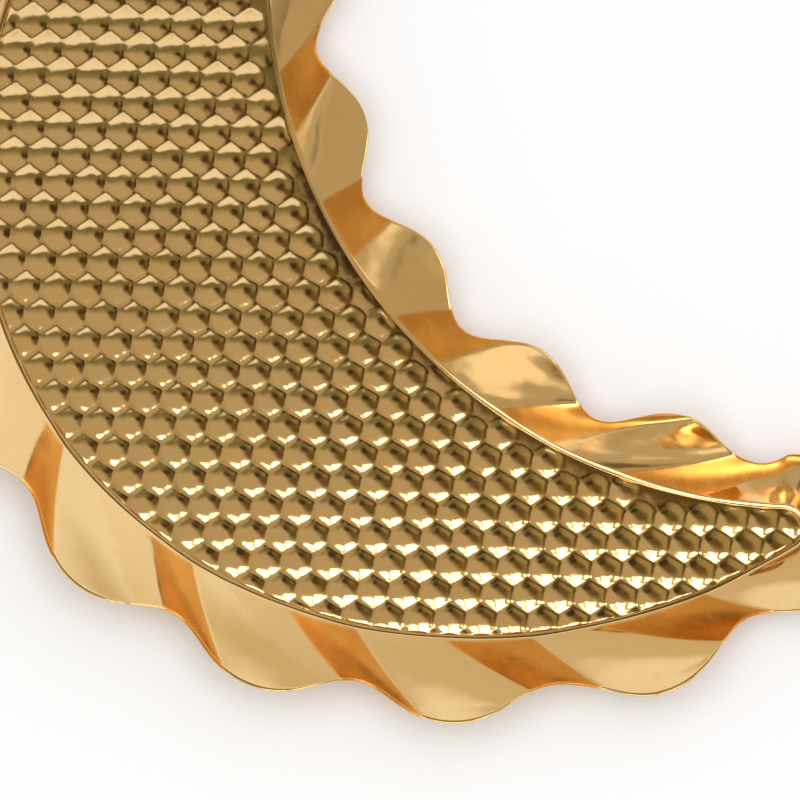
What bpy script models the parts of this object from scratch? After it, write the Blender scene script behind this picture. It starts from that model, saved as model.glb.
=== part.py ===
"""Crescent serving tray in thin polished brass.

A honeycomb-embossed crescent floor lies inside a wall made of two fluted strips, one round the
back of the crescent and one round its notch, which meet at the horn tips. Each strip's foot is
soldered down on the plain margin of the floor. The tray stands on five bumpers.

Frame: metres, +Z up, origin at the centre of the footprint on the table. +X runs from the back
of the crescent towards its horns, +Y from horn to horn.
"""

import math

import bmesh
import bpy
import numpy as np
from mathutils import Matrix, Vector

# Floor outline: an ellipse round the back, a circle round the notch, rounded horn tips
BACK_HALF_X = 0.1465
BACK_HALF_Y = 0.1300
NOTCH_RADIUS = 0.1397
NOTCH_CENTRE_X = 0.0813
HORN_RADIUS = 0.0050

# Sheet metal
SHEET = 0.0008
SOLDER_GAP = 0.0003
SEAM_GAP = 0.0005
MARGIN = 0.0015

# Honeycomb embossing: raised cells in rows along Y
CELL_PITCH = 0.00808
CELL_HEIGHT = 0.0007
CELL_SHIFT_X = 0.607
CELL_SHIFT_Y = 0.060
CELL_KEEP_CLEAR = 0.0002

# Plan width of the wall's scalloped edge
WALL_WIDTH = 0.0173
WALL_WIDTH_SWING = 0.0017
HORN_NARROWING = 0.0030
HORN_NARROWING_START = 0.055
HORN_NARROWING_END = 0.012
HORN_DELAY = 0.085
HORN_DELAY_START = (0.150, 0.172)
HORN_DELAY_END = (0.225, 0.255)
SCALLOP = 0.0043
SCALLOP_FLATTEN = 0.08

# Fluted wall, as a height over the plan distance from the floor outline
BACK_SLOPE = (0.72, 0.70)
NOTCH_SLOPE = (0.66, 0.58)
SLOPE_BLEND = 0.020
FOOT_FLAT = 0.00035
FOOT_BEND_RADIUS = 0.0016
FLUTE_COUNT = 17
FLUTE_DEPTH = 0.0029
FLUTE_START = 0.03
CREASE_AT_EDGE = 0.80
CREASE_LEAN = 0.38
NOTCH_CREASE_AT_EDGE = 0.60
NOTCH_CREASE_GAIN = 1.5
NOTCH_CREASE_CENTRE = 0.360
NOTCH_LEAN_GAIN = 7.8
NOTCH_LEAN_LIMIT = 0.85
NOTCH_LEAN_CENTRE = 0.388
NOTCH_FLUTE_DEPTH = 0.0019
CREASE_SOFTNESS = 0.55
BACK_FLANK_EDGE = 0.27
BACK_FLANK_FOOT = 0.14
BACK_FLANK_GAIN = 3.0
BACK_FLANK_LIMIT = 0.68
BACK_FLANK_POWER = 0.8
NOTCH_FLANK_FOOT = 0.50
NOTCH_FLANK_EDGE = 0.32
TROUGH_LIFT = 0.45
FLUTE_DRIFT = 0.068
FIRST_SCALLOP = 0.0415
DRIFT_CENTRE = 0.225

# Bumpers
BUMPER_RADIUS = 0.0050
BUMPER_HEIGHT = 0.0017
BUMPER_EDGE = 0.0004
BUMPER_PLACES = {
    "bumper_back": 0.0,
    "bumper_side_right": 0.42,
    "bumper_side_left": -0.42,
    "bumper_horn_right": 0.80,
    "bumper_horn_left": -0.80,
}

# Heights above the table
FLOOR_UNDERSIDE = BUMPER_HEIGHT + SOLDER_GAP
FLOOR_TOP = FLOOR_UNDERSIDE + SHEET
WALL_FOOT = FLOOR_TOP + SOLDER_GAP + SHEET

# Mesh fineness
ARC_STEPS = 4000
OUTLINE_STEP = 0.0040
STATION_STEP = 0.0028
HORN_STATION_STEP = 0.0010
WALL_ROWS = (0.0, 0.022, 0.06, 0.11, 0.30, 0.52, 0.76, 1.0)


def ellipse_point(angle):
    """Point and outward normal of the back ellipse, angle measured from the back."""
    point = np.array([-BACK_HALF_X * math.cos(angle), -BACK_HALF_Y * math.sin(angle)])
    normal = np.array([point[0] / BACK_HALF_X ** 2, point[1] / BACK_HALF_Y ** 2])
    return point, normal / np.linalg.norm(normal)


def horn_centre():
    """Angle where the back ellipse meets the horn's arc, and the centre of that arc."""
    notch = np.array([NOTCH_CENTRE_X, 0.0])
    low, high = 1.0, 2.0
    for _ in range(60):
        angle = 0.5 * (low + high)
        point, normal = ellipse_point(angle)
        centre = point - HORN_RADIUS * normal
        if np.linalg.norm(centre - notch) > NOTCH_RADIUS + HORN_RADIUS:
            low = angle
        else:
            high = angle
    return angle, centre


HORN_ANGLE, HORN_CENTRE = horn_centre()
ARC_ANGLES = np.linspace(0.0, HORN_ANGLE, ARC_STEPS)
ARC_POINTS = np.array([ellipse_point(angle)[0] for angle in ARC_ANGLES])
ARC_LENGTHS = np.concatenate(
    ([0.0], np.cumsum(np.linalg.norm(np.diff(ARC_POINTS, axis=0), axis=1))))
BACK_LENGTH = float(ARC_LENGTHS[-1])
HORN_TURN_START = math.atan2(*ellipse_point(HORN_ANGLE)[1][::-1])
HORN_TURN_END = math.atan2(-HORN_CENTRE[1], NOTCH_CENTRE_X - HORN_CENTRE[0])
HORN_LENGTH = HORN_RADIUS * (HORN_TURN_END - HORN_TURN_START)
NOTCH_HALF_LENGTH = NOTCH_RADIUS * HORN_TURN_END
HALF_LENGTH = BACK_LENGTH + HORN_LENGTH + NOTCH_HALF_LENGTH
LOOP_LENGTH = 2.0 * HALF_LENGTH
HORN_SEAM = BACK_LENGTH + 0.5 * HORN_LENGTH


def outline(run):
    """Point and outward normal of the floor outline.

    run is the distance along the outline from the middle of the back, anticlockwise seen
    from above, so the horn on the -Y side comes first.
    """
    run = run % LOOP_LENGTH
    if run > HALF_LENGTH:
        point, normal = outline(LOOP_LENGTH - run)
        mirror = np.array([1.0, -1.0])
        return point * mirror, normal * mirror
    if run <= BACK_LENGTH:
        return ellipse_point(float(np.interp(run, ARC_LENGTHS, ARC_ANGLES)))
    if run <= BACK_LENGTH + HORN_LENGTH:
        turn = HORN_TURN_START + (run - BACK_LENGTH) / HORN_RADIUS
        normal = np.array([math.cos(turn), math.sin(turn)])
        return HORN_CENTRE + HORN_RADIUS * normal, normal
    turn = (HALF_LENGTH - run) / NOTCH_RADIUS
    normal = np.array([math.cos(turn), math.sin(turn)])
    return np.array([NOTCH_CENTRE_X, 0.0]) - NOTCH_RADIUS * normal, normal


def flute_count_at(run):
    """Flutes passed since the first scallop, a whole number where the edge is widest."""
    drift = FLUTE_DRIFT * (math.sin(math.tau * (run - DRIFT_CENTRE) / LOOP_LENGTH)
                           - math.sin(math.tau * (FIRST_SCALLOP - DRIFT_CENTRE) / LOOP_LENGTH))
    return FLUTE_COUNT * (run - FIRST_SCALLOP) / LOOP_LENGTH - drift


def smooth_step(low, high, value):
    part = min(max((value - low) / (high - low), 0.0), 1.0)
    return part * part * (3.0 - 2.0 * part)


def half_run(run):
    """Distance along the outline from the middle of the back, the same on both sides."""
    run = run % LOOP_LENGTH
    return min(run, LOOP_LENGTH - run)


def mean_width(run):
    """Plan width of the wall between scallops and troughs, least at the horn tips."""
    half = half_run(run)
    horn_end = BACK_LENGTH + HORN_LENGTH
    narrowed = (smooth_step(BACK_LENGTH - HORN_NARROWING_START, BACK_LENGTH, half)
                - smooth_step(horn_end, horn_end + HORN_NARROWING_END, half))
    return WALL_WIDTH - WALL_WIDTH_SWING * outline(run)[1][0] - HORN_NARROWING * narrowed


def edge_width(run):
    """Plan distance from the floor outline to the wall's scalloped edge.

    Towards each horn the scallops fall a little behind the flutes.
    """
    half = half_run(run)
    late = smooth_step(*HORN_DELAY_START, half) - smooth_step(*HORN_DELAY_END, half)
    phase = math.tau * (flute_count_at(run) - HORN_DELAY * late)
    wave = math.cos(phase) - SCALLOP_FLATTEN * math.cos(2.0 * phase)
    return mean_width(run) + SCALLOP * wave


def notch_part(run):
    """0 along the back, 1 along the notch, blended round the horns."""
    return smooth_step(HORN_SEAM - SLOPE_BLEND, HORN_SEAM + SLOPE_BLEND, half_run(run))


def flank_width(run, share):
    """Part of a flute taken by its steep flank."""
    foot = min(BACK_FLANK_FOOT + BACK_FLANK_GAIN * half_run(run), BACK_FLANK_LIMIT)
    back = foot + (BACK_FLANK_EDGE - foot) * min(share, 1.0) ** BACK_FLANK_POWER
    notch = NOTCH_FLANK_FOOT + (NOTCH_FLANK_EDGE - NOTCH_FLANK_FOOT) * min(share, 1.0)
    return back + (notch - back) * notch_part(run)


def flute_turns(run, share):
    """Position in the flutes: whole numbers on the crease lines.

    Along the back all creases lean alike; along the notch they fan out towards both horns.
    """
    run = run % LOOP_LENGTH
    fan = NOTCH_LEAN_GAIN * (run - NOTCH_LEAN_CENTRE)
    lean = min(max(fan, -NOTCH_LEAN_LIMIT), NOTCH_LEAN_LIMIT)
    at_edge = NOTCH_CREASE_AT_EDGE + NOTCH_CREASE_GAIN * (run - NOTCH_CREASE_CENTRE)
    notch = notch_part(run)
    lean = CREASE_LEAN + (lean - CREASE_LEAN) * notch
    at_edge = CREASE_AT_EDGE + (at_edge - CREASE_AT_EDGE) * notch
    return flute_count_at(run) - at_edge - lean * (share - 1.0)


def flute_wave(turns, flank):
    """Ridge +1 and trough -1: a steep flank falls to a crease at whole turns, then a slow rise."""
    part = turns % 1.0
    share = part / (1.0 - flank) if part < 1.0 - flank else (1.0 - part) / flank
    eased = smooth_step(0.0, 1.0, share)
    return 2.0 * (CREASE_SOFTNESS * eased + (1.0 - CREASE_SOFTNESS) * share) - 1.0


def wall_height(run, reach):
    """Height of the wall's upper face over its foot, at a plan distance from the outline."""
    width = mean_width(run)
    notch = notch_part(run)
    low = BACK_SLOPE[0] + (NOTCH_SLOPE[0] - BACK_SLOPE[0]) * notch
    high = BACK_SLOPE[1] + (NOTCH_SLOPE[1] - BACK_SLOPE[1]) * notch
    bend_end = FOOT_FLAT + FOOT_BEND_RADIUS * math.sin(math.atan(low))
    across = min(max(reach - FOOT_FLAT, 0.0), bend_end - FOOT_FLAT)
    base = FOOT_BEND_RADIUS - math.sqrt(FOOT_BEND_RADIUS ** 2 - across ** 2)
    across = max(reach - bend_end, 0.0)
    base += low * across - (low - high) * across ** 2 / (2.0 * width)
    share = reach / width
    wave = flute_wave(flute_turns(run, share), flank_width(run, share))
    depth = FLUTE_DEPTH + (NOTCH_FLUTE_DEPTH - FLUTE_DEPTH) * notch
    grown = max(share - FLUTE_START, 0.0) / (1.0 - FLUTE_START)
    return base + depth * grown * (wave + TROUGH_LIFT)


def wall_point(run, share):
    """Point on the wall's upper face; share is 0 at the foot and 1 at the scalloped edge."""
    point, normal = outline(run)
    reach = share * edge_width(run)
    spot = point + reach * normal
    return Vector((spot[0], spot[1], WALL_FOOT + wall_height(run, reach)))


def footprint_centre_x():
    """Middle of the scalloped edge along X, which becomes x = 0."""
    edge = [wall_point(run, 1.0).x for run in np.linspace(0.0, LOOP_LENGTH, 2000)]
    return 0.5 * (min(edge) + max(edge))


CENTRE_X = footprint_centre_x()


def clear_scene():
    for thing in list(bpy.data.objects):
        bpy.data.objects.remove(thing, do_unlink=True)


def new_collection(name):
    collection = bpy.data.collections.new(name)
    bpy.context.scene.collection.children.link(collection)
    return collection


def new_material(name, colour, roughness, metallic):
    material = bpy.data.materials.new(name)
    material.use_nodes = True
    shader = material.node_tree.nodes["Principled BSDF"]
    shader.inputs["Base Color"].default_value = (*colour, 1.0)
    shader.inputs["Roughness"].default_value = roughness
    shader.inputs["Metallic"].default_value = metallic
    material.diffuse_color = (*colour, 1.0)
    return material


def new_object(name, mesh, collection, material=None):
    thing = bpy.data.objects.new(name, mesh)
    collection.objects.link(thing)
    if material is not None:
        mesh.materials.append(material)
    return thing


def mesh_from(bm, name):
    mesh = bpy.data.meshes.new(name)
    bm.to_mesh(mesh)
    bm.free()
    return mesh


def outline_prism(name, offset, low, high, collection):
    """Closed prism over the floor outline pushed outwards by offset."""
    count = round(LOOP_LENGTH / OUTLINE_STEP)
    curve = bpy.data.curves.new(name, "CURVE")
    curve.dimensions = "2D"
    curve.fill_mode = "BOTH"
    curve.extrude = 0.5 * (high - low)
    spline = curve.splines.new("POLY")
    spline.points.add(count - 1)
    spline.use_cyclic_u = True
    for index in range(count):
        point, normal = outline(LOOP_LENGTH * index / count)
        spot = point + offset * normal
        spline.points[index].co = (spot[0] - CENTRE_X, spot[1], 0.0, 1.0)
    flat = bpy.data.objects.new(name + "_curve", curve)
    collection.objects.link(flat)
    bpy.context.view_layer.update()
    mesh = bpy.data.meshes.new_from_object(flat.evaluated_get(
        bpy.context.evaluated_depsgraph_get()))
    bpy.data.objects.remove(flat, do_unlink=True)
    bm = bmesh.new()
    bm.from_mesh(mesh)
    bmesh.ops.remove_doubles(bm, verts=bm.verts, dist=0.00001)
    bmesh.ops.recalc_face_normals(bm, faces=bm.faces)
    bm.to_mesh(mesh)
    bm.free()
    prism = new_object(name, mesh, collection)
    prism.location.z = 0.5 * (low + high)
    prism.hide_render = True
    prism.display_type = "WIRE"
    return prism


def depth_inside(spot, rim_points):
    """Distance from a spot to the floor outline, negative outside it."""
    back = math.hypot(spot[0] / BACK_HALF_X, spot[1] / BACK_HALF_Y) < 1.0
    notch = math.hypot(spot[0] - NOTCH_CENTRE_X, spot[1]) > NOTCH_RADIUS
    nearest = float(np.min(np.hypot(rim_points[:, 0] - spot[0], rim_points[:, 1] - spot[1])))
    return nearest if back and notch else -nearest


def cell_height(depth):
    """Full height inside the floor, less where the outline cuts a cell off."""
    cut = 1.0 - max(depth, 0.0) / (0.5 * CELL_PITCH)
    if cut <= CELL_KEEP_CLEAR / CELL_HEIGHT:
        return CELL_HEIGHT
    return min(CELL_HEIGHT, CELL_KEEP_CLEAR / cut)


def embossed_sheet():
    """Open honeycomb sheet: one hexagonal cone for each cell, welded at the shared corners."""
    rim_points = np.array([outline(run)[0] for run in np.linspace(0.0, LOOP_LENGTH, 1500)])
    row_pitch = CELL_PITCH * math.sqrt(3.0) / 2.0
    corner_radius = CELL_PITCH / math.sqrt(3.0)
    rows = math.ceil(BACK_HALF_X / row_pitch) + 2
    columns = math.ceil(BACK_HALF_Y / CELL_PITCH) + 2
    bm = bmesh.new()
    for row in range(-rows, rows):
        for column in range(-columns, columns + 1):
            spot = ((row + CELL_SHIFT_X) * row_pitch,
                    (column + 0.5 * (row % 2) + CELL_SHIFT_Y) * CELL_PITCH)
            depth = depth_inside(spot, rim_points)
            if depth < -1.5 * CELL_PITCH:
                continue
            height = cell_height(depth) if depth > 0.0 else 0.0
            place = Matrix.Translation((spot[0] - CENTRE_X, spot[1], FLOOR_TOP + 0.5 * height))
            bmesh.ops.create_cone(bm, cap_ends=False, segments=6, radius1=corner_radius,
                                  radius2=0.0, depth=height,
                                  matrix=place @ Matrix.Rotation(math.pi / 6.0, 4, "Z"))
    bmesh.ops.remove_doubles(bm, verts=bm.verts, dist=0.00005)
    bmesh.ops.recalc_face_normals(bm, faces=bm.faces)
    if sum(face.normal.z for face in bm.faces) < 0.0:
        bmesh.ops.reverse_faces(bm, faces=bm.faces)
    return mesh_from(bm, "embossed_floor")


def make_floor(collection, cutters, material):
    floor = new_object("embossed_floor", embossed_sheet(), collection, material)
    thicken = floor.modifiers.new("sheet", "SOLIDIFY")
    thicken.thickness = SHEET
    thicken.offset = -1.0
    trim = floor.modifiers.new("outline", "BOOLEAN")
    trim.operation = "INTERSECT"
    trim.object = outline_prism("floor_outline", MARGIN, 0.0, 0.02, cutters)
    return floor


def station_runs(start, end):
    """Distances of a strip's cross sections, closer together round the horn tips."""
    turn = 0.5 * HORN_LENGTH
    corners = (start, start + turn, end - turn, end)
    steps = (HORN_STATION_STEP, STATION_STEP, HORN_STATION_STEP)
    runs = [start]
    for low, high, step in zip(corners[:-1], corners[1:], steps):
        count = round((high - low) / step)
        runs.extend(low + (high - low) * (index + 1) / count for index in range(count))
    return runs


def make_wall(name, start, end, collection, material):
    """Fluted strip along the floor outline from one horn seam to the next."""
    runs = station_runs(start, end)
    bm = bmesh.new()
    bmesh.ops.create_grid(bm, x_segments=len(runs) - 1, y_segments=len(WALL_ROWS) - 1, size=0.5)
    for vert in bm.verts:
        station = round((vert.co.x + 0.5) * (len(runs) - 1))
        row = round((vert.co.y + 0.5) * (len(WALL_ROWS) - 1))
        spot = wall_point(runs[station], WALL_ROWS[row])
        seam_side = (station == 0) - (station == len(runs) - 1)
        normal = outline(runs[station])[1]
        tangent = Vector((-normal[1], normal[0], 0.0))
        spot += tangent * seam_side * 0.5 * SEAM_GAP
        vert.co = spot - Vector((CENTRE_X, 0.0, 0.0))
    bm.normal_update()
    if sum(face.normal.z for face in bm.faces) < 0.0:
        bmesh.ops.reverse_faces(bm, faces=bm.faces)
    for face in bm.faces:
        face.smooth = True
    wall = new_object(name, mesh_from(bm, name), collection, material)
    thicken = wall.modifiers.new("sheet", "SOLIDIFY")
    thicken.thickness = SHEET
    thicken.offset = -1.0
    return wall


def middle_of_floor(share):
    """Point halfway between back and notch, share -1 to 1 from horn to horn."""
    back = outline(share * BACK_LENGTH)[0]
    notch = outline(LOOP_LENGTH / 2.0 - share * NOTCH_HALF_LENGTH)[0]
    return 0.5 * (back + notch)


def make_bumper(name, share, collection, material):
    spot = middle_of_floor(share)
    bm = bmesh.new()
    bmesh.ops.create_cone(bm, cap_ends=True, segments=24, radius1=BUMPER_RADIUS,
                          radius2=BUMPER_RADIUS, depth=BUMPER_HEIGHT)
    bumper = new_object(name, mesh_from(bm, name), collection, material)
    bumper.location = (spot[0] - CENTRE_X, spot[1], 0.5 * BUMPER_HEIGHT)
    edge = bumper.modifiers.new("edge", "BEVEL")
    edge.width = BUMPER_EDGE
    edge.segments = 2
    edge.limit_method = "ANGLE"
    bumper.data.shade_smooth()
    bumper.data.set_sharp_from_angle(angle=math.radians(40.0))
    return bumper


def main():
    clear_scene()
    tray = new_collection("crescent_tray")
    cutters = new_collection("cutters")
    floor_brass = new_material("floor_brass", (0.62, 0.44, 0.20), 0.18, 1.0)
    wall_brass = new_material("wall_brass", (0.86, 0.60, 0.27), 0.10, 1.0)
    rubber = new_material("bumper_rubber", (0.03, 0.03, 0.03), 0.70, 0.0)
    make_floor(tray, cutters, floor_brass)
    make_wall("back_wall", -HORN_SEAM, HORN_SEAM, tray, wall_brass)
    make_wall("notch_wall", HORN_SEAM, LOOP_LENGTH - HORN_SEAM, tray, wall_brass)
    for name, share in BUMPER_PLACES.items():
        make_bumper(name, share, tray, rubber)


main()
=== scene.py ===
import math

import bpy
import numpy as np
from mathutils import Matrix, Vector


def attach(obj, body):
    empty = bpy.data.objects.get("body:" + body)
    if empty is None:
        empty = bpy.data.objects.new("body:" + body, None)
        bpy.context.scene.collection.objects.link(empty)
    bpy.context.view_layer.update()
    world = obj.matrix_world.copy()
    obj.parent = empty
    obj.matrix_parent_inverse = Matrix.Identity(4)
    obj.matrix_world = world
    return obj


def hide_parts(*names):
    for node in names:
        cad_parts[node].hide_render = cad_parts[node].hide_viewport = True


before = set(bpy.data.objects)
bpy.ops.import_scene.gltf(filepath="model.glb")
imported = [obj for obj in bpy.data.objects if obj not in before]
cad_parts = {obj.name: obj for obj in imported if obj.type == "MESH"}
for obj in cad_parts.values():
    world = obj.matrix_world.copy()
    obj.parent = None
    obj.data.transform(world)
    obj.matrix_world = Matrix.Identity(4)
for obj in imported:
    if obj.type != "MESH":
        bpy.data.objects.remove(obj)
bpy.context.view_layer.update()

# ---------------------------------------------------------------- dimensions, as in the CAD
BACK_HALF_X = 0.1465
BACK_HALF_Y = 0.1300
NOTCH_RADIUS = 0.1397
NOTCH_CENTRE_X = 0.0813
HORN_RADIUS = 0.0050
SHEET = 0.0008
CELL_PITCH = 0.00808
CELL_SHIFT_X = 0.607
CELL_SHIFT_Y = 0.060
WALL_WIDTH = 0.0173
WALL_WIDTH_SWING = 0.0017
HORN_NARROWING = 0.0030
HORN_NARROWING_START = 0.055
HORN_NARROWING_END = 0.012
HORN_DELAY = 0.085
HORN_DELAY_START = (0.150, 0.172)
HORN_DELAY_END = (0.225, 0.255)
BACK_SLOPE = (0.72, 0.70)
NOTCH_SLOPE = (0.66, 0.58)
SLOPE_BLEND = 0.020
FOOT_FLAT = 0.00035
FOOT_BEND_RADIUS = 0.0016
FLUTE_COUNT = 17
FLUTE_DEPTH = 0.0029
FLUTE_START = 0.03
CREASE_AT_EDGE = 0.80
CREASE_LEAN = 0.38
NOTCH_CREASE_AT_EDGE = 0.60
NOTCH_CREASE_GAIN = 1.5
NOTCH_CREASE_CENTRE = 0.360
NOTCH_LEAN_GAIN = 7.8
NOTCH_LEAN_LIMIT = 0.85
NOTCH_LEAN_CENTRE = 0.388
NOTCH_FLUTE_DEPTH = 0.0019
BACK_FLANK_EDGE = 0.27
BACK_FLANK_FOOT = 0.14
BACK_FLANK_GAIN = 3.0
BACK_FLANK_LIMIT = 0.68
BACK_FLANK_POWER = 0.8
NOTCH_FLANK_FOOT = 0.50
NOTCH_FLANK_EDGE = 0.32
TROUGH_LIFT = 0.45
CREASE_SOFTNESS = 0.55
FLUTE_DRIFT = 0.068
SCALLOP = 0.0043
SCALLOP_FLATTEN = 0.08
FIRST_SCALLOP = 0.0415
DRIFT_CENTRE = 0.225
BUMPER_RADIUS = 0.0050
BUMPER_HEIGHT = 0.0017
BUMPER_EDGE = 0.0004
BUMPER_DIMPLE = 0.0003
FLOOR_TOP = 0.0028
WALL_FOOT = 0.0039
CENTRE_X = -0.0701957

# ---------------------------------------------------------------- finer shape of the looks
MARGIN = 0.0013
CELL_HEIGHT = 0.00071
CELL_NORM = 6.5
CELL_POWER = 2.2
CELL_VALLEY = 0.80
CELL_VALLEY_FILL = 0.98
CELL_VARIATION = 0.05
CELL_SCATTER = (911.0, 1733.0, 1.7)
CELL_ROWS = 24
CELL_COLUMNS = 18
CELL_RINGS = 8
CELL_RINGS_UNDER = 4
CELL_RING_CROWDING = 0.82
CELL_LEAST = 0.10
CELL_GROWTH = (0.0005, 0.0042)
MARGIN_BLEND = (-0.00035, 0.00045)
NOTCH_MARGIN_BLEND = (-0.0002, 0.0016)
HOLLOW_SHARE = 0.34
WELD = 0.00002
SNAP_PASSES = 3
STATION_STEP = 0.00060
WALL_ROWS = 40
ROW_CROWDING = 1.15
EDGE_ANGLES = (60.0, 30.0, 0.0, -30.0, -60.0)
EDGE_ROUNDNESS = 0.55
FOLD_START = (0.985, 1.035)
FOLD_END = 0.985
FOLD_FOOT = (0.05, 0.11)
# span of a steep flank over which the painted shade rises towards the crease
CREASE_SHADE_RAMP = (0.30, 0.95)
SEAM = 0.00004
RIM_STEP = 0.0012
BUMPER_SIDES = 72
BUMPER_RIM_STEPS = 7
BUMPER_DIMPLE_RADIUS = 0.0011
BUMPER_PLACES = {"back": 0.0, "side_right": 0.42, "side_left": -0.42,
                 "horn_right": 0.80, "horn_left": -0.80}

BRASS = (0.88, 0.60, 0.27)
BRASS_RED = (0.86, 0.55, 0.22)
# painted shade: darkening in the valleys between the floor's cells
VALLEY_SHADE = (0.42, 0.26, 0.09)
# painted reflection: the orange of the tray's own brass as mirrored in its steep flanks
FLANK_REFLECTION_ORANGE = (0.97, 0.42, 0.07)
# painted shade: brown darkening of the steep flanks, in streaks and towards each crease
FLANK_SHADE_BROWN = (0.62, 0.24, 0.04)
RUBBER = (0.018, 0.018, 0.019)
RUBBER_DUST = (0.075, 0.070, 0.062)

# ---------------------------------------------------------------- framing, straight from above
VIEW_TURN = math.radians(-28.5)
VIEW_CENTRE = (0.006323, -0.04773)
VIEW_WIDTH = 0.2088
VIEW_DISTANCE = 2.0
VIEW_HEIGHT = 0.0035
SENSOR_WIDTH = 36.0


def ellipse_point(angle):
    angle = np.asarray(angle, float)
    point = np.stack([-BACK_HALF_X * np.cos(angle), -BACK_HALF_Y * np.sin(angle)], -1)
    normal = point / np.array([BACK_HALF_X ** 2, BACK_HALF_Y ** 2])
    return point, normal / np.linalg.norm(normal, axis=-1, keepdims=True)


def horn_centre():
    notch = np.array([NOTCH_CENTRE_X, 0.0])
    low, high = 1.0, 2.0
    for _ in range(60):
        angle = 0.5 * (low + high)
        point, normal = ellipse_point(angle)
        centre = point - HORN_RADIUS * normal
        if np.linalg.norm(centre - notch) > NOTCH_RADIUS + HORN_RADIUS:
            low = angle
        else:
            high = angle
    return angle, centre


HORN_ANGLE, HORN_CENTRE = horn_centre()
ARC_ANGLES = np.linspace(0.0, HORN_ANGLE, 4000)
ARC_POINTS = ellipse_point(ARC_ANGLES)[0]
ARC_LENGTHS = np.concatenate(
    ([0.0], np.cumsum(np.linalg.norm(np.diff(ARC_POINTS, axis=0), axis=1))))
BACK_LENGTH = float(ARC_LENGTHS[-1])
HORN_NORMAL = ellipse_point(HORN_ANGLE)[1]
HORN_TURN_START = math.atan2(HORN_NORMAL[1], HORN_NORMAL[0])
HORN_TURN_END = math.atan2(-HORN_CENTRE[1], NOTCH_CENTRE_X - HORN_CENTRE[0])
HORN_LENGTH = HORN_RADIUS * (HORN_TURN_END - HORN_TURN_START)
NOTCH_HALF_LENGTH = NOTCH_RADIUS * HORN_TURN_END
HALF_LENGTH = BACK_LENGTH + HORN_LENGTH + NOTCH_HALF_LENGTH
LOOP_LENGTH = 2.0 * HALF_LENGTH
HORN_SEAM = BACK_LENGTH + 0.5 * HORN_LENGTH


def outline(runs):
    """Points and outward normals of the floor outline, by distance anticlockwise from the back."""
    runs = np.mod(np.asarray(runs, float), LOOP_LENGTH)
    mirrored = runs > HALF_LENGTH
    half = np.where(mirrored, LOOP_LENGTH - runs, runs)
    point, normal = ellipse_point(np.interp(half, ARC_LENGTHS, ARC_ANGLES))
    turn = HORN_TURN_START + (half - BACK_LENGTH) / HORN_RADIUS
    horn_normal = np.stack([np.cos(turn), np.sin(turn)], -1)
    turn = (HALF_LENGTH - half) / NOTCH_RADIUS
    notch_normal = np.stack([np.cos(turn), np.sin(turn)], -1)
    on_horn = ((half > BACK_LENGTH) & (half <= BACK_LENGTH + HORN_LENGTH))[..., None]
    on_notch = (half > BACK_LENGTH + HORN_LENGTH)[..., None]
    point = np.where(on_horn, HORN_CENTRE + HORN_RADIUS * horn_normal, point)
    normal = np.where(on_horn, horn_normal, normal)
    notch_point = np.array([NOTCH_CENTRE_X, 0.0]) - NOTCH_RADIUS * notch_normal
    point = np.where(on_notch, notch_point, point)
    normal = np.where(on_notch, notch_normal, normal)
    mirror = np.where(mirrored[..., None], np.array([1.0, -1.0]), 1.0)
    return point * mirror, normal * mirror


def flute_count_at(runs):
    drift = FLUTE_DRIFT * (np.sin(math.tau * (runs - DRIFT_CENTRE) / LOOP_LENGTH)
                           - math.sin(math.tau * (FIRST_SCALLOP - DRIFT_CENTRE) / LOOP_LENGTH))
    return FLUTE_COUNT * (runs - FIRST_SCALLOP) / LOOP_LENGTH - drift


def smooth_step(low, high, value):
    part = np.clip((value - low) / (high - low), 0.0, 1.0)
    return part * part * (3.0 - 2.0 * part)


def half_run(runs):
    """Distance along the outline from the middle of the back, the same on both sides."""
    half = np.mod(runs, LOOP_LENGTH)
    return np.where(half > HALF_LENGTH, LOOP_LENGTH - half, half)


def mean_width(runs):
    half = half_run(runs)
    horn_end = BACK_LENGTH + HORN_LENGTH
    narrowed = (smooth_step(BACK_LENGTH - HORN_NARROWING_START, BACK_LENGTH, half)
                - smooth_step(horn_end, horn_end + HORN_NARROWING_END, half))
    return WALL_WIDTH - WALL_WIDTH_SWING * outline(runs)[1][..., 0] - HORN_NARROWING * narrowed


def edge_width(runs):
    half = half_run(runs)
    late = smooth_step(*HORN_DELAY_START, half) - smooth_step(*HORN_DELAY_END, half)
    phase = math.tau * (flute_count_at(runs) - HORN_DELAY * late)
    return mean_width(runs) + SCALLOP * (np.cos(phase) - SCALLOP_FLATTEN * np.cos(2.0 * phase))


def notch_part(runs):
    """0 along the back, 1 along the notch, blended round the horns."""
    return smooth_step(HORN_SEAM - SLOPE_BLEND, HORN_SEAM + SLOPE_BLEND, half_run(runs))


def flank_width(runs, share):
    """Part of a flute taken by its steep flank."""
    foot = np.minimum(BACK_FLANK_FOOT + BACK_FLANK_GAIN * half_run(runs), BACK_FLANK_LIMIT)
    back = foot + (BACK_FLANK_EDGE - foot) * np.clip(share, 0.0, 1.0) ** BACK_FLANK_POWER
    notch = NOTCH_FLANK_FOOT + (NOTCH_FLANK_EDGE - NOTCH_FLANK_FOOT) * np.clip(share, 0.0, 1.0)
    return back + (notch - back) * notch_part(runs)


def flute_turns(runs, share):
    """Position in the flutes: whole numbers on the crease lines."""
    runs = np.mod(runs, LOOP_LENGTH)
    fan = NOTCH_LEAN_GAIN * (runs - NOTCH_LEAN_CENTRE)
    lean = np.clip(fan, -NOTCH_LEAN_LIMIT, NOTCH_LEAN_LIMIT)
    at_edge = NOTCH_CREASE_AT_EDGE + NOTCH_CREASE_GAIN * (runs - NOTCH_CREASE_CENTRE)
    notch = notch_part(runs)
    lean = CREASE_LEAN + (lean - CREASE_LEAN) * notch
    at_edge = CREASE_AT_EDGE + (at_edge - CREASE_AT_EDGE) * notch
    return flute_count_at(runs) - at_edge - lean * (share - 1.0)


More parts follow.
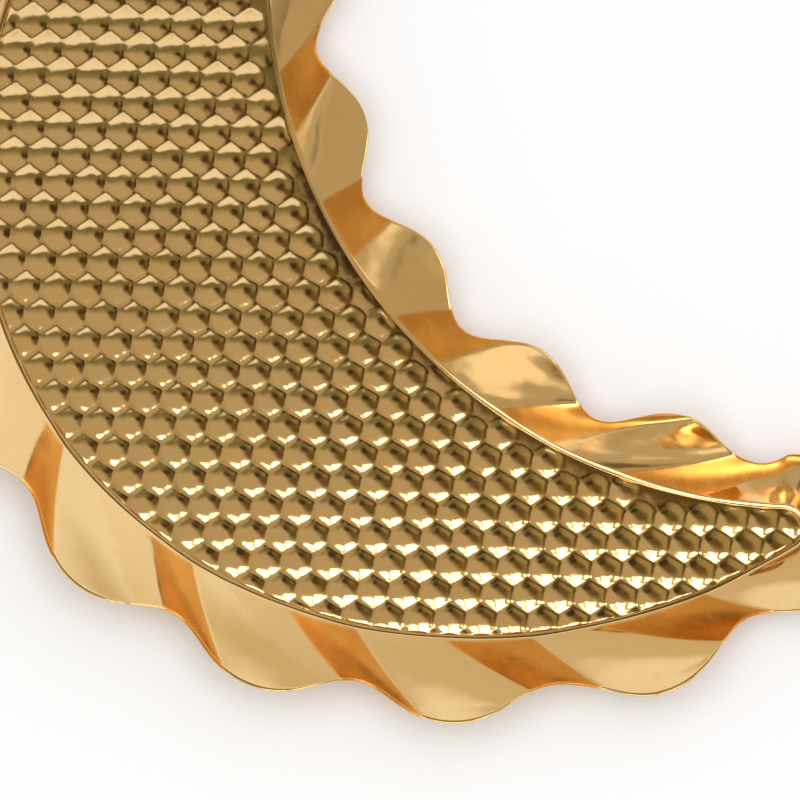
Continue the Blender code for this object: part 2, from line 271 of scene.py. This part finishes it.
def flute_wave(turns, flank):
    """Ridge +1 and trough -1: a steep flank falls to a crease at whole turns, then a slow rise."""
    part = np.mod(turns, 1.0)
    share = np.where(part < 1.0 - flank, part / (1.0 - flank), (1.0 - part) / flank)
    eased = share * share * (3.0 - 2.0 * share)
    return 2.0 * (CREASE_SOFTNESS * eased + (1.0 - CREASE_SOFTNESS) * share) - 1.0


def wall_height(runs, reach):
    """Height of the wall's upper face over its foot, at a plan distance from the outline."""
    width = mean_width(runs)
    notch = notch_part(runs)
    low = BACK_SLOPE[0] + (NOTCH_SLOPE[0] - BACK_SLOPE[0]) * notch
    high = BACK_SLOPE[1] + (NOTCH_SLOPE[1] - BACK_SLOPE[1]) * notch
    bend_sine = low / np.sqrt(1.0 + low * low)
    bend_end = FOOT_FLAT + FOOT_BEND_RADIUS * bend_sine
    across = np.clip(reach - FOOT_FLAT, 0.0, bend_end - FOOT_FLAT)
    base = FOOT_BEND_RADIUS - np.sqrt(FOOT_BEND_RADIUS ** 2 - across ** 2)
    across = np.maximum(reach - bend_end, 0.0)
    base = base + low * across - (low - high) * across ** 2 / (2.0 * width)
    share = reach / width
    grown = np.clip(share - FLUTE_START, 0.0, None) / (1.0 - FLUTE_START)
    wave = flute_wave(flute_turns(runs, share), flank_width(runs, share))
    depth = FLUTE_DEPTH + (NOTCH_FLUTE_DEPTH - FLUTE_DEPTH) * notch
    return base + depth * grown * (wave + TROUGH_LIFT)


def crease_shade_weight(runs, reach):
    """0 over the first third of a steep flank, rising to 1 at its crease: where the painted brown
    shade deepens.
    """
    share = reach / mean_width(runs)
    flank = flank_width(runs, share)
    part = (np.mod(flute_turns(runs, share), 1.0) - 1.0 + flank) / flank
    return smooth_step(*CREASE_SHADE_RAMP, part)


def flank_reflection_weight(runs, reach):
    """1 on the steep flanks, where the painted orange reflection goes, 0 elsewhere."""
    share = reach / mean_width(runs)
    part = np.mod(flute_turns(runs, share), 1.0)
    flank = flank_width(runs, share)
    inside = smooth_step(FOLD_START[0] - flank, FOLD_START[1] - flank, part)
    inside = inside * smooth_step(1.0, FOLD_END, part)
    return inside * smooth_step(*FOLD_FOOT, share)


def wall_surface(runs, shares):
    """Grid of points on the wall's upper face, stations by rows."""
    point, normal = outline(runs)
    reach = edge_width(runs)[:, None] * shares[None, :]
    spot = point[:, None, :] + reach[..., None] * normal[:, None, :]
    height = WALL_FOOT + wall_height(runs[:, None], reach)
    return np.concatenate([spot - np.array([CENTRE_X, 0.0]), height[..., None]], -1)


def grid_normals(grid):
    """Upward normals of a grid of points."""
    along = np.gradient(grid, axis=0)
    across = np.gradient(grid, axis=1)
    normal = np.cross(across, along)
    return normal / np.linalg.norm(normal, axis=-1, keepdims=True)


def paint(thing, name, values):
    layer = thing.data.attributes.new(name, "FLOAT", "POINT")
    layer.data.foreach_set("value", np.asarray(values, np.float32))


def mesh_object(name, points, faces, node):
    mesh = bpy.data.meshes.new(name)
    mesh.from_pydata([tuple(p) for p in points], [], [tuple(f) for f in faces])
    mesh.update()
    mesh.polygons.foreach_set("use_smooth", [True] * len(mesh.polygons))
    thing = bpy.data.objects.new(name, mesh)
    bpy.context.scene.collection.objects.link(thing)
    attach(thing, "root")
    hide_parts(node)
    return thing


def sheet_section(upper):
    """Rows of points round the section of the sheet: upper face, raw edge, lower face."""
    normal = grid_normals(upper)
    rim, rim_normal = upper[:, -1], normal[:, -1]
    along = np.gradient(rim, axis=0)
    along /= np.linalg.norm(along, axis=-1, keepdims=True)
    outward = np.cross(along, rim_normal)
    rows = [upper[:, k] for k in range(WALL_ROWS + 1)]
    for angle in EDGE_ANGLES:
        a = math.radians(angle)
        bulge = EDGE_ROUNDNESS * math.cos(a) * outward + math.sin(a) * rim_normal
        rows.append(rim + 0.5 * SHEET * (bulge - rim_normal))
    rows += [upper[:, k] - SHEET * normal[:, k] for k in range(WALL_ROWS, -1, -2)]
    return np.stack(rows, 1)


def section_values(values):
    """Values of the upper face carried on round the section of the sheet."""
    edge = np.repeat(values[:, -1:], len(EDGE_ANGLES), axis=1)
    return np.concatenate([values, edge, values[:, WALL_ROWS::-2]], 1).reshape(-1)


def tube_faces(stations, ring):
    """Quads from each closed ring of points to the next, and a cap on the first and the last."""
    index = np.arange(stations * ring).reshape(stations, ring)
    ahead = np.roll(index, -1, axis=1)
    sides = np.stack([index[:-1], ahead[:-1], ahead[1:], index[1:]], -1).reshape(-1, 4)
    return sides.tolist() + [index[0].tolist(), index[-1].tolist()[::-1]]


def strip(name, start, end, node):
    """Wall strip of sheet from one distance along the outline to another."""
    count = round((end - start) / STATION_STEP)
    runs = np.linspace(start + SEAM, end - SEAM, count + 1)
    shares = np.linspace(0.0, 1.0, WALL_ROWS + 1) ** ROW_CROWDING
    section = sheet_section(wall_surface(runs, shares))
    wall = mesh_object(name, section.reshape(-1, 3), tube_faces(*section.shape[:2]), node)
    wall.data.materials.append(wall_brass)
    reach = edge_width(runs)[:, None] * shares[None, :]
    # mask of the steep flanks, carrying the painted orange reflection and the painted brown shade
    # towards the creases
    flank_reflection_mask = section_values(flank_reflection_weight(runs[:, None], reach))
    # rise towards each crease, for the painted brown shade
    depth = section_values(crease_shade_weight(runs[:, None], reach))
    paint(wall, "flank_reflection_mask", flank_reflection_mask)
    paint(wall, "crease_shade_weight", flank_reflection_mask * depth)


def nearest_outline(spots):
    """Nearest points of the floor outline, outward normals, and depth inside the outline."""
    side = np.where(spots[:, 1] > 0.0, 1.0, -1.0)
    px, py = np.abs(spots[:, 0]), np.abs(spots[:, 1])
    a, b = BACK_HALF_X, BACK_HALF_Y
    tx = ty = np.full(len(spots), math.sqrt(0.5))
    for _ in range(6):
        ex, ey = (a * a - b * b) * tx ** 3 / a, (b * b - a * a) * ty ** 3 / b
        rx, ry, qx, qy = a * tx - ex, b * ty - ey, px - ex, py - ey
        ratio = np.hypot(rx, ry) / np.maximum(np.hypot(qx, qy), 1e-9)
        tx = np.clip((qx * ratio + ex) / a, 0.0, 1.0)
        ty = np.clip((qy * ratio + ey) / b, 0.0, 1.0)
        size = np.hypot(tx, ty)
        tx, ty = tx / size, ty / size
    line = np.stack([a * tx * np.sign(spots[:, 0]), b * ty * side], -1)
    normal = line / np.array([a * a, b * b])
    normal /= np.linalg.norm(normal, axis=1, keepdims=True)
    back_depth = -np.sum((spots - line) * normal, 1)
    centre = np.array([NOTCH_CENTRE_X, 0.0])
    away = spots - centre
    distance = np.linalg.norm(away, axis=1, keepdims=True)
    notch_depth = distance[:, 0] - NOTCH_RADIUS
    notch_normal = -away / distance
    nearer = (notch_depth < back_depth)[:, None]
    line = np.where(nearer, centre - NOTCH_RADIUS * notch_normal, line)
    normal = np.where(nearer, notch_normal, normal)
    depth = np.minimum(back_depth, notch_depth)
    tip = np.stack([np.full(len(spots), HORN_CENTRE[0]), -side * HORN_CENTRE[1]], -1)
    gap = spots - tip
    turn = np.arctan2(-side * gap[:, 1], gap[:, 0])
    at_tip = (turn > HORN_TURN_START) & (turn < HORN_TURN_END) & (spots[:, 0] > -0.02)
    reach = np.linalg.norm(gap, axis=1)
    gap = gap / np.maximum(reach, 1e-9)[:, None]
    line = np.where(at_tip[:, None], tip + HORN_RADIUS * gap, line)
    normal = np.where(at_tip[:, None], gap, normal)
    depth = np.where(at_tip, HORN_RADIUS - reach, depth)
    return line, normal, depth, notch_depth


def pillow(offset):
    """Share of a cell's full height at an offset from its centre: a dome with a rounded valley."""
    total = np.zeros(len(offset))
    nearest = np.zeros(len(offset))
    for side in range(3):
        a = math.pi / 2.0 + side * math.pi / 3.0
        across = np.abs(offset[:, 0] * math.cos(a) + offset[:, 1] * math.sin(a))
        across = across / (0.5 * CELL_PITCH)
        total += across ** CELL_NORM
        nearest = np.maximum(nearest, across)
    valley = np.clip(nearest - CELL_VALLEY, 0.0, None) ** 2 / (2.0 * (1.0 - CELL_VALLEY))
    return 1.0 - total ** (CELL_POWER / CELL_NORM) + CELL_VALLEY_FILL * CELL_POWER * valley


def hexagon_corner(number):
    return np.array([math.cos(number * math.pi / 3.0), math.sin(number * math.pi / 3.0)])


def hexagon_patch(rings):
    """Points of a unit hexagonal patch with rings closing up on its border, and its triangles."""
    points = [(0.0, 0.0)]
    first = [0]
    for ring in range(1, rings + 1):
        first.append(len(points))
        size = (ring / rings) ** CELL_RING_CROWDING
        for side in range(6):
            a, b = hexagon_corner(side), hexagon_corner(side + 1)
            for step in range(ring):
                points.append(tuple(size * (a + (b - a) * step / ring)))
    faces = []
    for ring in range(1, rings + 1):
        outer, inner = 6 * ring, max(6 * (ring - 1), 1)
        for side in range(6):
            for step in range(ring):
                o1 = first[ring] + (side * ring + step) % outer
                o2 = first[ring] + (side * ring + step + 1) % outer
                i1 = first[ring - 1] + (side * (ring - 1) + step) % inner
                faces.append((o1, o2, i1))
                if step < ring - 1:
                    i2 = first[ring - 1] + (side * (ring - 1) + step + 1) % inner
                    faces.append((o2, i2, i1))
    return np.array(points), np.array(faces)


def floor_face(rings):
    """Embossed face of the sheet: pillow cells cut off by the outline, with the plain margin."""
    row_pitch = CELL_PITCH * math.sqrt(3.0) / 2.0
    patch, patch_faces = hexagon_patch(rings)
    patch = patch * CELL_PITCH / math.sqrt(3.0)
    centres = np.array([((row + CELL_SHIFT_X) * row_pitch,
                         (column + 0.5 * (row % 2) + CELL_SHIFT_Y) * CELL_PITCH)
                        for row in range(-CELL_ROWS, CELL_ROWS)
                        for column in range(-CELL_COLUMNS, CELL_COLUMNS + 1)])
    _, _, depth, notch_depth = nearest_outline(centres)
    near = depth > -MARGIN - CELL_PITCH / math.sqrt(3.0)
    centres, notch_depth = centres[near], notch_depth[near]
    strength = CELL_LEAST + (1.0 - CELL_LEAST) * smooth_step(*CELL_GROWTH, notch_depth)
    place = centres[:, 0] * CELL_SCATTER[0] + centres[:, 1] * CELL_SCATTER[1]
    uneven = np.sin(place) * np.cos(CELL_SCATTER[2] * place)
    strength = strength * (1.0 + CELL_VARIATION * uneven)
    spots = (centres[:, None, :] + patch[None]).reshape(-1, 2)
    offsets = np.broadcast_to(patch[None], (len(centres),) + patch.shape).reshape(-1, 2)
    heights = CELL_HEIGHT * pillow(offsets) * np.repeat(strength, len(patch))
    keys = np.round(spots / WELD).astype(np.int64)
    _, first, inverse, count = np.unique(keys, axis=0, return_index=True, return_inverse=True,
                                         return_counts=True)
    inverse = inverse.reshape(-1)
    summed = np.zeros(len(first))
    np.add.at(summed, inverse, heights)
    spots, heights = spots[first], summed / count
    starts = (np.arange(len(centres)) * len(patch))[:, None, None]
    faces = inverse[(patch_faces[None] + starts).reshape(-1, 3)]
    depth = nearest_outline(spots)[2]
    faces = faces[(depth > -MARGIN)[faces].any(1)]
    used = np.unique(faces)
    renumber = np.zeros(len(spots), np.int64)
    renumber[used] = np.arange(len(used))
    faces, spots, heights = renumber[faces], spots[used], heights[used]
    for _ in range(SNAP_PASSES):
        _, normal, depth, _ = nearest_outline(spots)
        spots = spots + np.minimum(depth + MARGIN, 0.0)[:, None] * normal
    _, _, depth, notch_depth = nearest_outline(spots)
    cover = smooth_step(*MARGIN_BLEND, depth) * smooth_step(*NOTCH_MARGIN_BLEND, notch_depth)
    heights = heights * cover
    points = np.column_stack([spots[:, 0] - CENTRE_X, spots[:, 1], FLOOR_TOP + heights])
    return points, faces


def floor_sheet():
    """Upper face, lower face and the narrow edge between them, as one closed piece."""
    upper, upper_faces = floor_face(CELL_RINGS)
    lower, lower_faces = floor_face(CELL_RINGS_UNDER)
    lower[:, 2] -= SHEET
    count = round(LOOP_LENGTH / RIM_STEP)
    line, normal = outline(np.linspace(0.0, LOOP_LENGTH, count, endpoint=False))
    rim = line + (MARGIN - WELD) * normal
    rim[:, 0] -= CENTRE_X
    rows = [np.column_stack([rim, np.full(count, z)]) for z in (FLOOR_TOP, FLOOR_TOP - SHEET)]
    start = len(upper) + len(lower)
    here = start + np.arange(count)
    ahead = start + np.roll(np.arange(count), -1)
    edge = np.concatenate([np.stack([here, here + count, ahead], 1),
                           np.stack([ahead, here + count, ahead + count], 1)])
    points = np.concatenate([upper, lower] + rows)
    faces = np.concatenate([upper_faces, lower_faces[:, ::-1] + len(upper), edge])
    raised = points[:, 2] - np.where(np.arange(len(points)) < len(upper), FLOOR_TOP,
                                     FLOOR_TOP - SHEET)
    # mask of the low valleys between the cells, for the painted shade there
    hollow_shade_mask = 1.0 - smooth_step(0.0, HOLLOW_SHARE, raised / CELL_HEIGHT)
    return points, faces, hollow_shade_mask


# ---------------------------------------------------------------- materials
# Numbers of a colour mix node's sockets, because their names repeat
MIX_FACTOR, MIX_FIRST, MIX_SECOND, MIX_COLOUR = 0, 6, 7, 2


def add_node(kind, **values):
    """Node of the current material; values fill its inputs, a link where the value is a socket."""
    made = tree.nodes.new(kind)
    for name, value in values.items():
        socket = made.inputs[name.replace("_", " ")]
        if isinstance(value, bpy.types.NodeSocket):
            tree.links.new(value, socket)
        else:
            socket.default_value = value
    return made


def noise(scale, detail=3.0, stretch=None):
    """Noise over the piece's own coordinates, scale in grains per metre."""
    place = coord.outputs["Object"]
    if stretch is not None:
        place = add_node("ShaderNodeMapping", Vector=place, Scale=stretch).outputs[0]
    return add_node("ShaderNodeTexNoise", Vector=place, Scale=scale, Detail=detail).outputs["Fac"]


def spread(value, low, high, to_low=0.0, to_high=1.0):
    """Straight ramp from to_low at low to to_high at high."""
    made = add_node("ShaderNodeMapRange", Value=value, From_Min=low, From_Max=high,
                    To_Min=to_low, To_Max=to_high)
    return made.outputs["Result"]


def ramp_between(value, low, high):
    """Soft step from 0 at low to 1 at high."""
    made = add_node("ShaderNodeMapRange", Value=value, From_Min=low, From_Max=high)
    made.interpolation_type = "SMOOTHSTEP"
    return made.outputs["Result"]


def calculated(operation, *values):
    made = tree.nodes.new("ShaderNodeMath")
    made.operation = operation
    for socket, value in zip(made.inputs, values):
        if isinstance(value, bpy.types.NodeSocket):
            tree.links.new(value, socket)
        else:
            socket.default_value = value
    return made.outputs[0]


def product(first, second):
    return calculated("MULTIPLY", first, second)


def blend_colours(factor, first, second):
    made = tree.nodes.new("ShaderNodeMix")
    made.data_type = "RGBA"
    tree.links.new(factor, made.inputs[MIX_FACTOR])
    for socket, value in ((made.inputs[MIX_FIRST], first), (made.inputs[MIX_SECOND], second)):
        if isinstance(value, tuple):
            socket.default_value = (*value, 1.0)
        else:
            tree.links.new(value, socket)
    return made.outputs[MIX_COLOUR]


def attribute(name):
    made = tree.nodes.new("ShaderNodeAttribute")
    made.attribute_name = name
    return made.outputs["Fac"]


def bumps(*layers):
    """Chain of bump nodes from (height socket, distance in metres) pairs."""
    normal = None
    for height, distance in layers:
        made = add_node("ShaderNodeBump", Height=height, Distance=distance, Strength=1.0)
        if normal is not None:
            tree.links.new(normal, made.inputs["Normal"])
        normal = made.outputs[0]
    return normal


def start_material(name, metallic):
    made = bpy.data.materials.new(name)
    made.use_nodes = True
    shader = made.node_tree.nodes["Principled BSDF"]
    shader.inputs["Metallic"].default_value = metallic
    where = made.node_tree.nodes.new("ShaderNodeTexCoord")
    return made, made.node_tree, shader, where


# Wall: mirror polish with faint brushing and soft dents; the steep folded flanks are satin, with a
# painted orange reflection of the tray and painted brown shade towards the creases
wall_brass, tree, shader, coord = start_material("polished_brass_wall", 1.0)
cloud = spread(noise(38.0, 4.0), 0.35, 0.70)
mottle = spread(noise(210.0, 5.0), 0.40, 0.75)
wiping = noise(420.0, 4.0, (1.0, 0.12, 1.0))
flank_reflection_mask = attribute("flank_reflection_mask")
colour = blend_colours(product(cloud, 0.55), BRASS, BRASS_RED)
# painted reflection: the steep flanks coloured orange as if they mirrored the tray itself
colour = blend_colours(product(flank_reflection_mask, 0.93), colour, FLANK_REFLECTION_ORANGE)
streaks = spread(noise(95.0, 3.0, (1.0, 1.0, 0.25)), 0.42, 0.62)
# painted shade: dark brown streaks and mottling over the flanks, deepening towards each crease
colour = blend_colours(product(product(streaks, flank_reflection_mask), 0.38), colour, FLANK_SHADE_BROWN)
colour = blend_colours(product(product(mottle, flank_reflection_mask), 0.25), colour, FLANK_SHADE_BROWN)
colour = blend_colours(product(attribute("crease_shade_weight"), 0.60), colour, FLANK_SHADE_BROWN)
tree.links.new(colour, shader.inputs["Base Color"])
roughness = calculated("ADD", spread(wiping, 0.30, 0.75, 0.045, 0.135), product(flank_reflection_mask, 0.17))
tree.links.new(roughness, shader.inputs["Roughness"])
tree.links.new(bumps((noise(55.0, 2.0), 0.00030), (wiping, 0.0000025), (mottle, 0.000004)),
               shader.inputs["Normal"])

# Floor: the same brass, with painted shade darkening the valleys between the cells
floor_brass, tree, shader, coord = start_material("polished_brass_floor", 1.0)
cloud = spread(noise(30.0, 4.0), 0.35, 0.70)
# painted shade in the valleys between the cells, uneven with noise
valley = product(attribute("hollow_shade_mask"), spread(noise(150.0, 3.0), 0.30, 0.65, 0.08, 0.50))
colour = blend_colours(product(cloud, 0.45), BRASS, BRASS_RED)
colour = blend_colours(valley, colour, VALLEY_SHADE)
tree.links.new(colour, shader.inputs["Base Color"])
tree.links.new(spread(noise(260.0, 4.0), 0.30, 0.75, 0.055, 0.150), shader.inputs["Roughness"])
tree.links.new(bumps((noise(170.0, 2.0), 0.00016), (noise(1500.0, 3.0), 0.0000030)),
               shader.inputs["Normal"])

# Bumpers: dull black rubber with dust in the pores
rubber, tree, shader, coord = start_material("black_rubber", 0.0)
dust = spread(noise(900.0, 5.0), 0.45, 0.75, 0.0, 0.7)
tree.links.new(blend_colours(dust, RUBBER, RUBBER_DUST), shader.inputs["Base Color"])
tree.links.new(spread(noise(500.0, 4.0), 0.3, 0.7, 0.55, 0.85), shader.inputs["Roughness"])
tree.links.new(bumps((noise(2200.0, 4.0), 0.00004)), shader.inputs["Normal"])

# ---------------------------------------------------------------- pieces
strip("back_wall_strip", -HORN_SEAM, HORN_SEAM, "back_wall")
strip("notch_wall_strip", HORN_SEAM, LOOP_LENGTH - HORN_SEAM, "notch_wall")

points, faces, hollow_shade_mask = floor_sheet()
embossed = mesh_object("embossed_floor_sheet", points, faces.tolist(), "embossed_floor")
embossed.data.materials.append(floor_brass)
paint(embossed, "hollow_shade_mask", hollow_shade_mask)


def bumper(name, share, node):
    """Rubber disc turned from a profile with a rounded rim, a dimple below and a flat top."""
    back = outline(share * BACK_LENGTH)[0]
    front = outline(HALF_LENGTH - share * NOTCH_HALF_LENGTH)[0]
    middle = 0.5 * (back + front) - np.array([CENTRE_X, 0.0])
    quarter = np.linspace(0.0, math.pi / 2.0, BUMPER_RIM_STEPS)
    low = [(BUMPER_RADIUS - BUMPER_EDGE + BUMPER_EDGE * math.sin(a),
            BUMPER_EDGE - BUMPER_EDGE * math.cos(a)) for a in quarter]
    high = [(r, BUMPER_HEIGHT - z) for r, z in low[::-1]]
    dimple = [(BUMPER_DIMPLE_RADIUS * part, BUMPER_DIMPLE * (1.0 - part ** 2))
              for part in (0.25, 0.50, 0.75, 1.0)]
    profile = dimple + low + high + [(0.3 * BUMPER_RADIUS, BUMPER_HEIGHT)]
    sides = BUMPER_SIDES
    turns = np.linspace(0.0, math.tau, sides, endpoint=False)
    rings = [np.column_stack([middle[0] + r * np.cos(turns), middle[1] + r * np.sin(turns),
                              np.full(sides, z)]) for r, z in profile]
    ends = np.array([[*middle, BUMPER_DIMPLE], [*middle, BUMPER_HEIGHT]])
    bottom = sides * len(profile)
    faces = []
    for ring in range(len(profile) - 1):
        for k in range(sides):
            a, b = ring * sides + k, ring * sides + (k + 1) % sides
            faces.append((a, b, b + sides, a + sides))
    last = bottom - sides
    for k in range(sides):
        faces.append((bottom, (k + 1) % sides, k))
        faces.append((bottom + 1, last + k, last + (k + 1) % sides))
    disc = mesh_object(name, np.concatenate(rings + [ends]), faces, node)
    disc.data.materials.append(rubber)


for place, share in BUMPER_PLACES.items():
    bumper("rubber_pad_" + place, share, "bumper_" + place)

# ---------------------------------------------------------------- table, room, light and camera
NEAR_WHITE = (0.98, 0.98, 1.02)
DIM_WARM = (0.68, 0.63, 0.53)
LOW_WARM = (0.54, 0.50, 0.41)
ROOM_DARK = (0.17, 0.15, 0.08)
ROOM_BRIGHT = (1.15, 1.10, 1.0)
BEIGE = (0.52, 0.465, 0.36)
OLIVE = (0.20, 0.19, 0.10)
OLIVE_RIGHT = (0.38, 0.335, 0.18)
DARK = (0.14, 0.10, 0.04)
DARKEST = (0.05, 0.035, 0.02)
CARD = (0.98, 1.01, 1.08)
CARD_DIM = (0.69, 0.65, 0.55)
WINDOW = (3.8, 3.8, 3.8)
WINDOW_SOFTNESS = 0.010
WINDOWS = ((-0.128, -0.020, -0.30, -0.126), (0.000, 0.105, -0.30, -0.102),
           (0.140, 0.245, -0.20, -0.110))
CEILING_HEIGHT = 0.273
CEILING_SCALE = 1.137
CEILING_HALF = 0.50
TABLE_HALF = 3.0
PAPER = (0.9, 0.9, 0.9)
PAPER_ROUGHNESS = 0.7
FILL_COLOUR = (0.95, 1.0, 1.08)
FILL_POWER = 7.6
FILL_SIZE = 1.2
FILL_HEIGHT = 1.2
RIGHT = Vector((math.cos(VIEW_TURN), math.sin(VIEW_TURN), 0.0))
UP = Vector((-math.sin(VIEW_TURN), math.cos(VIEW_TURN), 0.0))


def stage_plane(name, half, corners):
    """Square plane that belongs to the surroundings, not to the tray."""
    mesh = bpy.data.meshes.new(name)
    mesh.from_pydata([(-half, -half, 0), (half, -half, 0), (half, half, 0), (-half, half, 0)],
                     [], [corners])
    plane = bpy.data.objects.new(name, mesh)
    bpy.context.scene.collection.objects.link(plane)
    return plane


table = stage_plane("table", TABLE_HALF, (0, 1, 2, 3))
paper, tree, shader, coord = start_material("white_table", 0.0)
shader.inputs["Base Color"].default_value = (*PAPER, 1.0)
shader.inputs["Roughness"].default_value = PAPER_ROUGHNESS
table.data.materials.append(paper)

# Surroundings: near white at the top, dimmer and cluttered at the bottom
world = bpy.data.worlds.new("studio")
bpy.context.scene.world = world
world.use_nodes = True
tree = world.node_tree
tree.nodes.clear()
background = tree.nodes.new("ShaderNodeBackground")
add_node("ShaderNodeOutputWorld", Surface=background.outputs[0])
coord = tree.nodes.new("ShaderNodeTexCoord")


def toward(degrees):
    """How far a direction points to one side, -1 to 1; 0 degrees is right and 90 is up."""
    turn = math.radians(degrees)
    made = tree.nodes.new("ShaderNodeVectorMath")
    made.operation = "DOT_PRODUCT"
    tree.links.new(coord.outputs["Generated"], made.inputs[0])
    made.inputs[1].default_value = RIGHT * math.cos(turn) + UP * math.sin(turn)
    return made.outputs["Value"]


overall = blend_colours(ramp_between(toward(80.0), -0.35, 0.10), LOW_WARM, NEAR_WHITE)
overall = blend_colours(ramp_between(toward(130.0), 0.10, 0.85), overall, DIM_WARM)
clutter = add_node("ShaderNodeTexNoise", Vector=coord.outputs["Generated"], Scale=3.4,
                   Detail=1.5).outputs["Fac"]
far_half = ramp_between(toward(80.0), 0.05, -0.45)
shaded = product(ramp_between(clutter, 0.50, 0.58), far_half)
overall = blend_colours(shaded, overall, ROOM_DARK)
bright = product(ramp_between(clutter, 0.42, 0.34), far_half)
overall = blend_colours(bright, overall, ROOM_BRIGHT)
tree.links.new(overall, background.inputs["Color"])

# A plane above the tray, seen only in the brass
ceiling = stage_plane("reflected_room", CEILING_HALF, (3, 2, 1, 0))
ceiling.location = (*VIEW_CENTRE, CEILING_HEIGHT)
ceiling.rotation_euler = (0.0, 0.0, VIEW_TURN)
ceiling.scale = (CEILING_SCALE, CEILING_SCALE, 1.0)
ceiling.visible_camera = False
ceiling.visible_shadow = False
ceiling.visible_diffuse = False

# Its glow: card at the top, windows at the bottom, darker patches between
glow = bpy.data.materials.new("reflected_room")
glow.use_nodes = True
tree = glow.node_tree
tree.nodes.clear()
emission = tree.nodes.new("ShaderNodeEmission")
add_node("ShaderNodeOutputMaterial", Surface=emission.outputs[0])
coord = tree.nodes.new("ShaderNodeTexCoord")
AT_X, AT_Y = add_node("ShaderNodeSeparateXYZ", Vector=coord.outputs["Object"]).outputs[:2]


def between(value, low, high):
    """1 from low to high with soft ends, 0 beyond them."""
    return product(ramp_between(value, low - WINDOW_SOFTNESS, low + WINDOW_SOFTNESS),
                   ramp_between(value, high + WINDOW_SOFTNESS, high - WINDOW_SOFTNESS))


def window(left, right, low, high):
    return product(between(AT_X, left, right), between(AT_Y, low, high))


def blob(x, y, size_x, size_y, turn):
    """Turned ellipse, 1 near its middle and 0 outside."""
    dx, dy = calculated("SUBTRACT", AT_X, x), calculated("SUBTRACT", AT_Y, y)
    c, s = math.cos(math.radians(turn)), math.sin(math.radians(turn))
    along = calculated("ADD", product(dx, c / size_x), product(dy, s / size_x))
    across = calculated("ADD", product(dx, -s / size_y), product(dy, c / size_y))
    square = calculated("ADD", product(along, along), product(across, across))
    return ramp_between(calculated("SQRT", square), 1.0, 0.25)


room = blend_colours(ramp_between(AT_Y, 0.02, 0.10), BEIGE, OLIVE)
room = blend_colours(ramp_between(AT_X, 0.02, 0.16), room, OLIVE_RIGHT)
room = blend_colours(blob(0.075, 0.0, 0.17, 0.075, -38.0), room, DARK)
room = blend_colours(blob(0.010, 0.050, 0.062, 0.050, 0.0), room, DARKEST)
card_edge = calculated("SUBTRACT", AT_Y, product(AT_X, 0.12))
far_right = ramp_between(AT_X, 0.15, 0.30)
card_edge = calculated("ADD", card_edge, product(far_right, 0.20))
far_dim = product(ramp_between(AT_Y, 0.19, 0.29), ramp_between(AT_X, 0.20, 0.02))
room = blend_colours(ramp_between(card_edge, 0.126, 0.156), room, CARD)
room = blend_colours(far_dim, room, CARD_DIM)
for bounds in WINDOWS:
    room = blend_colours(window(*bounds), room, WINDOW)
tree.links.new(room, emission.inputs["Color"])
ceiling.data.materials.append(glow)

# Overhead fill: seen only by dull surfaces, so the brass doesn't mirror it
fill_data = bpy.data.lights.new("overhead_fill", "AREA")
fill_data.size = FILL_SIZE
fill_data.energy = FILL_POWER
fill_data.color = FILL_COLOUR
fill = bpy.data.objects.new("overhead_fill", fill_data)
bpy.context.scene.collection.objects.link(fill)
fill.location = (0.0, 0.0, FILL_HEIGHT)
fill.visible_camera = False
fill.visible_glossy = False

camera_data = bpy.data.cameras.new("camera")
camera_data.sensor_width = SENSOR_WIDTH
camera_data.lens = SENSOR_WIDTH * VIEW_DISTANCE / VIEW_WIDTH
camera = bpy.data.objects.new("camera", camera_data)
camera.location = (*VIEW_CENTRE, VIEW_HEIGHT + VIEW_DISTANCE)
camera.rotation_euler = (0.0, 0.0, VIEW_TURN)
bpy.context.scene.collection.objects.link(camera)
bpy.context.scene.camera = camera
bpy.context.scene.view_settings.view_transform = "Standard"
